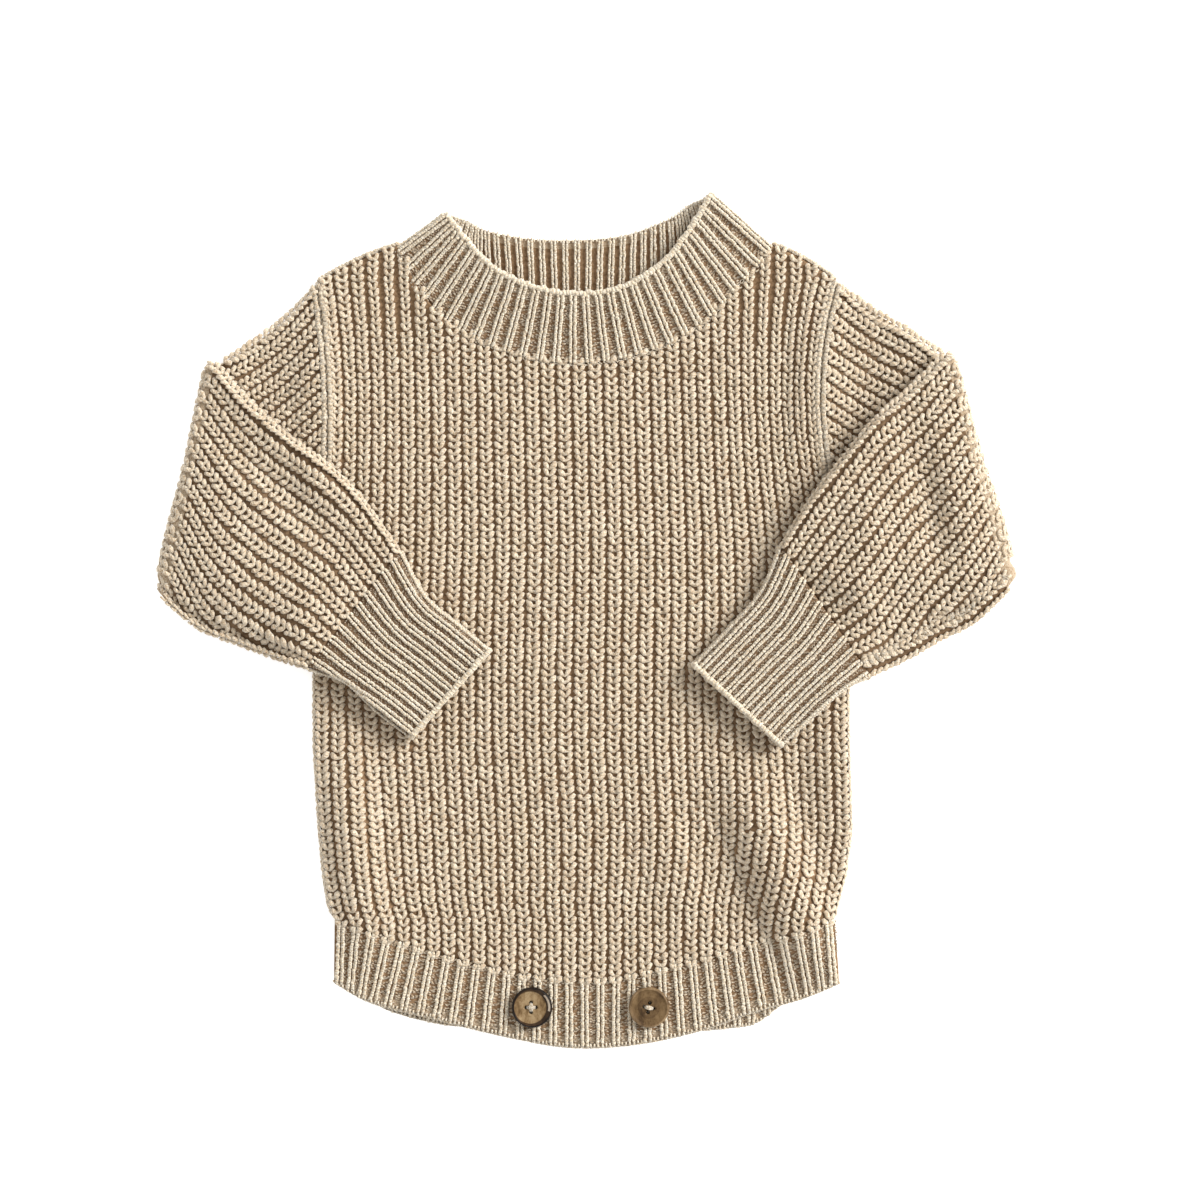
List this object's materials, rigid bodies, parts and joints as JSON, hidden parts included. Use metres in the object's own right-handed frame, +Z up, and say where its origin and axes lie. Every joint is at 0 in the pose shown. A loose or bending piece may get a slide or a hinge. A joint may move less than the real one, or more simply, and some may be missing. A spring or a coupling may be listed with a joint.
{
  "type": "baby romper",
  "caption": "Baby romper in chunky rib knit with a crew neckband, long balloon sleeves, a ribbed hem band and crotch buttons, laid flat with its sleeves folded over the front.",
  "frame": {"origin": "on the flat underside of the back panel, on the garment's centre line, level with its waist", "axes": "+Z up, away from the surface and through the back to the front; +Y along the garment to its neck; +X across it, to the side that lies right as seen from above with the neck up"},
  "size_m": [0.4269, 0.4247, 0.0178],
  "materials": {
    "oatmeal_knit": "matt, chunky rib knit in heathered oatmeal wool and cotton yarn",
    "brown_button": "satin, horn-like dark brown"
  },
  "bodies": {
    "root": {"back_panel": "oatmeal_knit", "front_panel": "oatmeal_knit", "neckband": "oatmeal_knit", "hem_band_front": "oatmeal_knit", "hem_band_back": "oatmeal_knit", "sleeve_left": "oatmeal_knit", "sleeve_right": "oatmeal_knit", "cuff_left": "oatmeal_knit", "cuff_right": "oatmeal_knit", "button_left": "brown_button", "button_right": "brown_button"}
  },
  "joints": []
}
